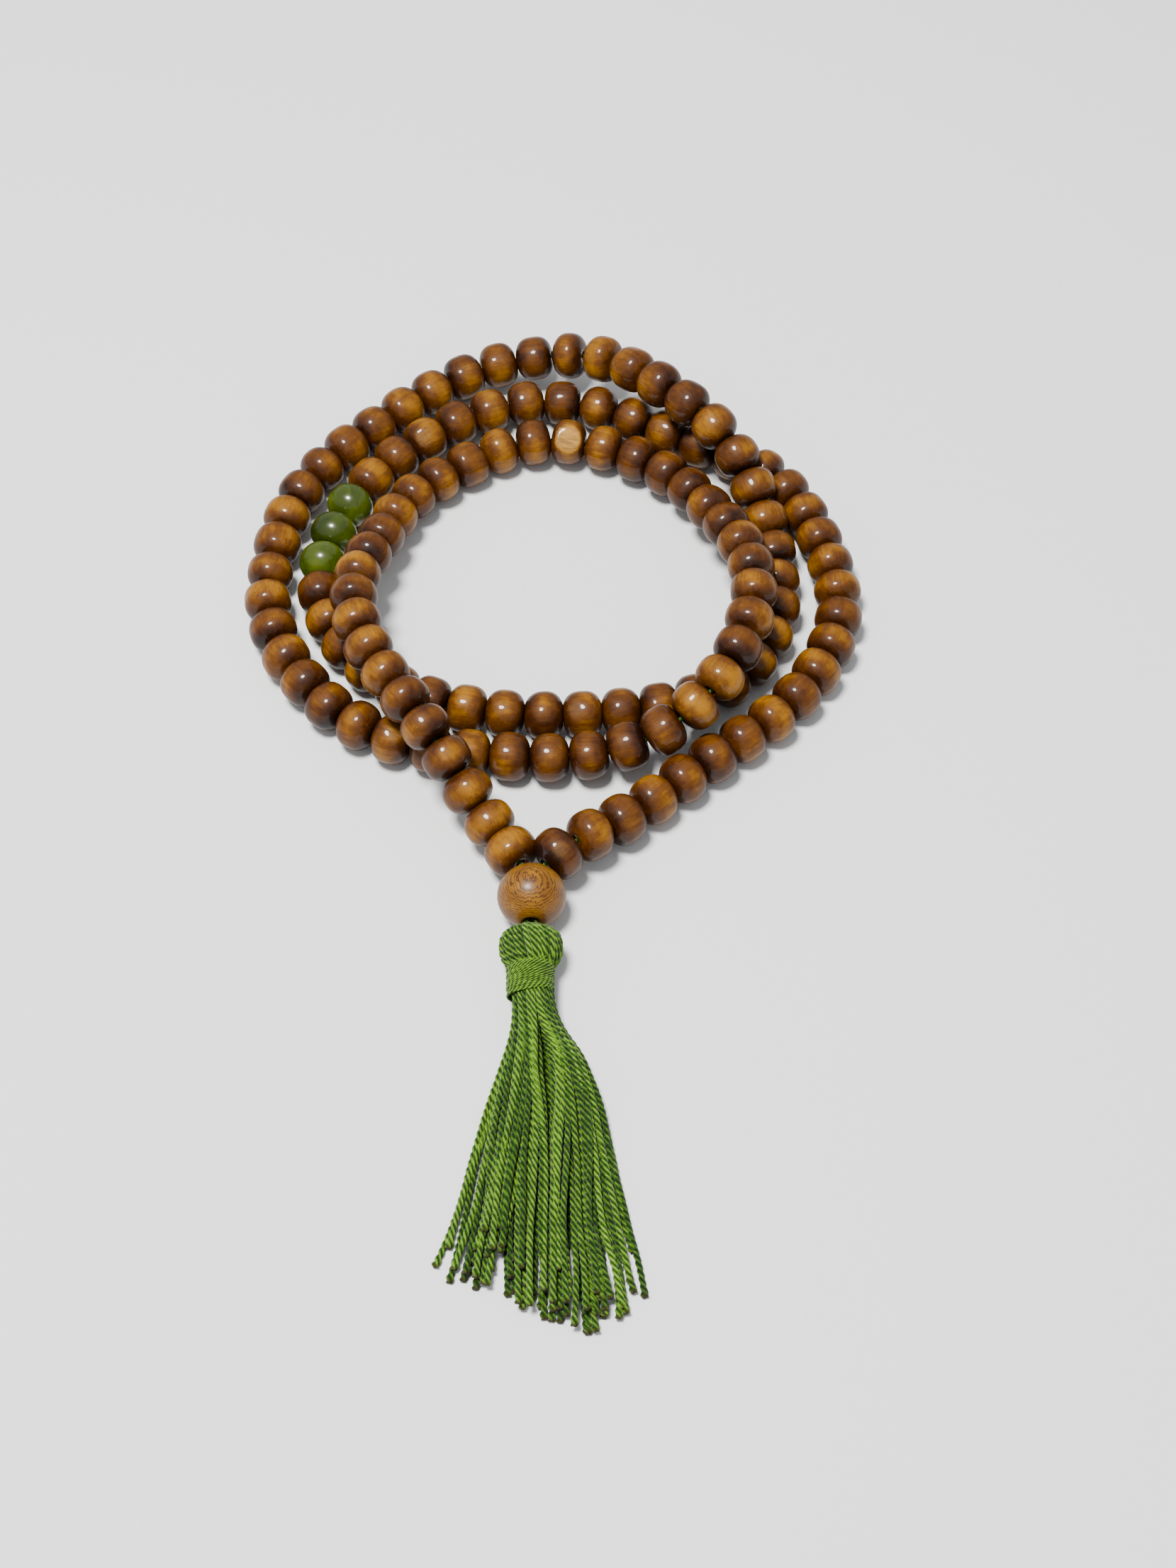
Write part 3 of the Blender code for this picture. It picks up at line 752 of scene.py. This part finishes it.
def skirt_point(share, level, y):
    """A point in the skirt: share of its half width from its middle, and level from 0 at the bottom to 1."""
    left, right = read_table(SKIRT_EDGES_MM, y)
    height = read_table(SKIRT_HEIGHTS_MM, y)[0]
    inside = min(1.0, abs(share))
    dome = SKIRT_EDGE_HEIGHT + (1 - SKIRT_EDGE_HEIGHT) * math.sqrt(1 - inside * inside)
    low = CORD_RADIUS + 0.12 * MM
    high = max(low, height * dome - CORD_RADIUS)
    reach = (right - left) / 2 - CORD_RADIUS
    return Vector(((left + right) / 2 + share * reach, y, low + (high - low) * level))


def neck_point(share, layer, place, y):
    """A cord's place in the neck. The top and bottom layers go round the outside of it."""
    angle = math.radians(90 - NECK_TURN_DEG * share)
    ring = NECK_RINGS[layer][place % 2]
    if layer < FIRST_FREE_LAYER:
        angle = -angle
    centre_z = TASSEL_PIVOT.z + (y - TASSEL_PIVOT.y) * math.tan(TASSEL_TILT)
    across = NECK_SHIFT + math.cos(angle) * ring * NECK_HALF_WIDTH
    return Vector((TASSEL_PIVOT.x + across, y, centre_z + math.sin(angle) * ring * NECK_HALF_HEIGHT))


def skirt_cord_line(layer, place, wander):
    """One cord's middle line from inside the wrap to its cut end, and its share of the half width."""
    count, level, shorter = SKIRT_LAYERS[layer]
    share = (place + 0.5) / count * 2 - 1 + wander.uniform(-0.025, 0.025)
    tip_share = max(-1.0, min(1.0, share + wander.gauss(0.0, 0.13)))
    longest = np.interp(tip_share, *zip(*SKIRT_ENDS_MM)) * MM
    end_y = float(longest) + wander.uniform(0.0, 1.0) * shorter
    if (layer, place) in STRAYS:
        tip_share, end_y = STRAYS[layer, place]
    phases = [wander.uniform(0, math.tau) for _ in range(3)]
    curl = wander.uniform(-1.3, 1.3) * MM
    lift = wander.uniform(-0.45, 0.15) * MM * level
    line = [neck_point(share, layer, place, NECK_Y), neck_point(share, layer, place, NECK_Y - NECK_RUN)]
    for y in np.append(np.arange(NECK_Y - FREE_START, end_y + TIP_ROOM, -FREE_STEP), end_y):
        gone = (NECK_Y - y) / MM
        spread = min(1.0, gone / SPREAD_MM)
        spread = spread * spread * (3 - 2 * spread)
        drift = min(1.0, gone / DRIFT_MM)
        here = share + (tip_share - share) * drift**1.5
        below, beside = (gone - PARTING_MIDDLE_MM) / PARTING_REACH_MM, (share - PARTING) / PARTING_WIDTH
        here += math.copysign(PARTING_OPENS * level * math.exp(-below**2 - beside**2), share - PARTING)
        point = neck_point(share, layer, place, y).lerp(skirt_point(here, level, y), spread)
        loose = min(1.0, gone / LOOSE_MM)
        point.x += loose * MM * 0.3 * math.sin(gone / 6.5 + phases[0])
        point.x += curl * max(0.0, gone / DRIFT_MM - 0.75) * 3
        point.z += loose * (lift + MM * 0.25 * math.sin(gone / 5.3 + phases[1]) * (0.2 + level))
        point.z = max(point.z, CORD_RADIUS + 0.05 * MM)
        line.append(point)
    return line, share


def body_of_bundle(bundle):
    return "tassel" if bundle == "skirt_centre" else bundle


def build_skirt(material):
    """The skirt: the lower layers as one piece for each bundle, and each upper cord by itself."""
    wander = random.Random(23)
    single, inner = [], {name: [] for name in SKIRT_BUNDLES}
    for layer, (count, level, _) in enumerate(SKIRT_LAYERS):
        for place in range(count):
            line, share = skirt_cord_line(layer, place, wander)
            path = spline_through([tuple(p) for p in line], 8)
            bundle = SKIRT_BUNDLES[min(LAST_BUNDLE, max(0, int((share + 1) / BUNDLE_SHARE)))]
            turn = wander.uniform(0, math.tau)
            cord = twisted_cord(
                path, CORD_RADIUS, CORD_PITCH, open_end=OPEN_END, turn=turn, pinch=NECK_PINCH)
            # Random tone, and painted shade that darkens the lower layers under the upper cords.
            tone = wander.uniform(-0.08, 0.08) - 0.06 * (1 - level)
            if layer < FIRST_FREE_LAYER:
                inner[bundle].append((cord, tone))
            else:
                single.append((path, cord, tone, bundle))
    for number, (path, cord, tone, bundle) in enumerate(single, 1):
        name = f"skirt_cord_{number:02d}"
        piece = add_object(name, cord_mesh(name, [cord], [tone]), material, body_of_bundle(bundle))
    for bundle, cords in inner.items():
        name = bundle + "_lower_cords"
        mesh = cord_mesh(name, [cord for cord, _ in cords], [tone for _, tone in cords])
        piece = add_object(name, mesh, material, body_of_bundle(bundle))
        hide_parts(bundle)


# ---- Floor, camera and light ----

def build_stage():
    shader = Shader("pale_floor")
    shader.set(Base_Color=FLOOR_COLOUR, Roughness=0.9)
    mesh = bpy.data.meshes.new("floor")
    form = bmesh.new()
    bmesh.ops.create_grid(form, x_segments=1, y_segments=1, size=FLOOR_HALF_SIDE)
    form.to_mesh(mesh)
    form.free()
    floor = bpy.data.objects.new("floor", mesh)
    bpy.context.scene.collection.objects.link(floor)
    mesh.materials.append(shader.material)


def build_camera():
    data = bpy.data.cameras.new("camera")
    data.sensor_fit = "VERTICAL"
    data.sensor_height = SENSOR_MM
    data.lens = LENS_MM
    camera = bpy.data.objects.new("camera", data)
    camera.location = CAMERA_POSITION
    camera.rotation_euler = (math.pi / 2 - CAMERA_PITCH, 0.0, 0.0)
    bpy.context.scene.collection.objects.link(camera)
    bpy.context.scene.camera = camera


def build_light():
    """A bright even sky, and one soft lamp that looks at the origin."""
    world = bpy.data.worlds.new("studio")
    world.use_nodes = True
    background = world.node_tree.nodes["Background"]
    background.inputs["Color"].default_value = SKY_COLOUR
    background.inputs["Strength"].default_value = SKY_STRENGTH
    bpy.context.scene.world = world
    data = bpy.data.lights.new("key", "AREA")
    data.shape = "DISK"
    data.size = KEY_SIZE
    data.energy = KEY_POWER
    data.color = KEY_COLOUR
    light = bpy.data.objects.new("key", data)
    light.location = KEY_PLACE
    light.rotation_euler = (-Vector(KEY_PLACE)).to_track_quat("-Z", "Y").to_euler()
    bpy.context.scene.collection.objects.link(light)


def main():
    route, joints = bead_joints()
    woods = [lacquered_wood(f"lacquered_wood_{number}", tone) for number, tone in enumerate(WOOD_TONES, 1)]
    green = cord_material("green_cord", GREEN_CORD, 0.05 * MM)
    thread = cord_material("green_thread", GREEN_THREAD, 0.03 * MM)
    core = Shader("cord_core")
    core.set(Base_Color=CORE_COLOUR, Roughness=0.9)
    build_camera()
    build_beads(joints, woods, green_stone())
    build_thread(route, joints, thread)
    build_guru(guru_wood())
    build_head(green, core.material)
    build_wrap(green)
    build_skirt(green)
    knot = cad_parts["tassel_knot"]
    knot.data.materials.clear()
    knot.data.materials.append(core.material)
    build_stage()
    build_light()


main()
